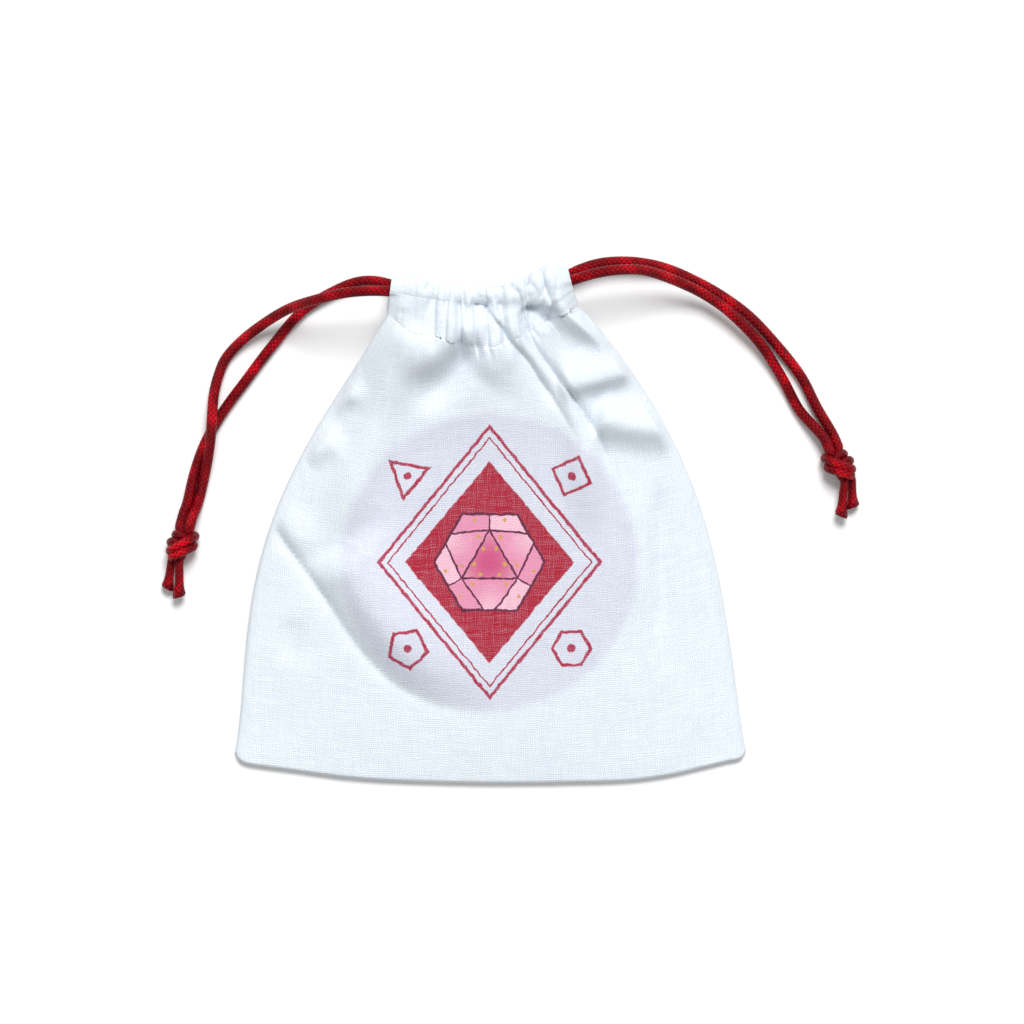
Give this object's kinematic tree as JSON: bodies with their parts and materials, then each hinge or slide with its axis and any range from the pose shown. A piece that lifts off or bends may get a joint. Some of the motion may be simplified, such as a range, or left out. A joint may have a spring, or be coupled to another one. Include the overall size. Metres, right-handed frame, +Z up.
{
  "type": "drawstring pouch",
  "caption": "Small cotton canvas drawstring pouch lying on its back, mouth gathered by twin red satin cords that run through hem tunnels and end in overhand knots.",
  "frame": {"origin": "middle of the bag's outline without its free cords, on the table", "axes": "+X across the bag, +Y from the bottom seam to the mouth, +Z up off the table"},
  "size_m": [0.1738, 0.1289, 0.0211],
  "materials": {
    "cotton_canvas": "plain weave cotton canvas, matt, cool white",
    "sewing_thread": "white polyester sewing thread, slight sheen",
    "satin_cord": "braided red satin cord, silky sheen"
  },
  "bodies": {
    "bag": {"front_panel": "cotton_canvas", "back_panel": "cotton_canvas", "front_hem_tunnel": "cotton_canvas", "back_hem_tunnel": "cotton_canvas", "left_seam_allowance": "cotton_canvas", "right_seam_allowance": "cotton_canvas", "bottom_seam_allowance": "cotton_canvas"},
    "left_drawcord": {"left_cord_loop": "satin_cord", "left_strand_front": "satin_cord", "left_strand_back": "satin_cord", "left_knot": "satin_cord", "left_tail_front": "satin_cord", "left_tail_back": "satin_cord"},
    "right_drawcord": {"right_cord_loop": "satin_cord", "right_strand_front": "satin_cord", "right_strand_back": "satin_cord", "right_knot": "satin_cord", "right_tail_front": "satin_cord", "right_tail_back": "satin_cord"}
  },
  "joints": [
    {"name": "left_draw", "type": "slide", "parent": "bag", "child": "left_drawcord", "axis": [-0.999, 0.0454, 0], "range_m": [-0.008, 0]},
    {"name": "right_draw", "type": "slide", "parent": "bag", "child": "right_drawcord", "axis": [0.982, 0.1891, 0], "range_m": [-0.008, 0]}
  ]
}
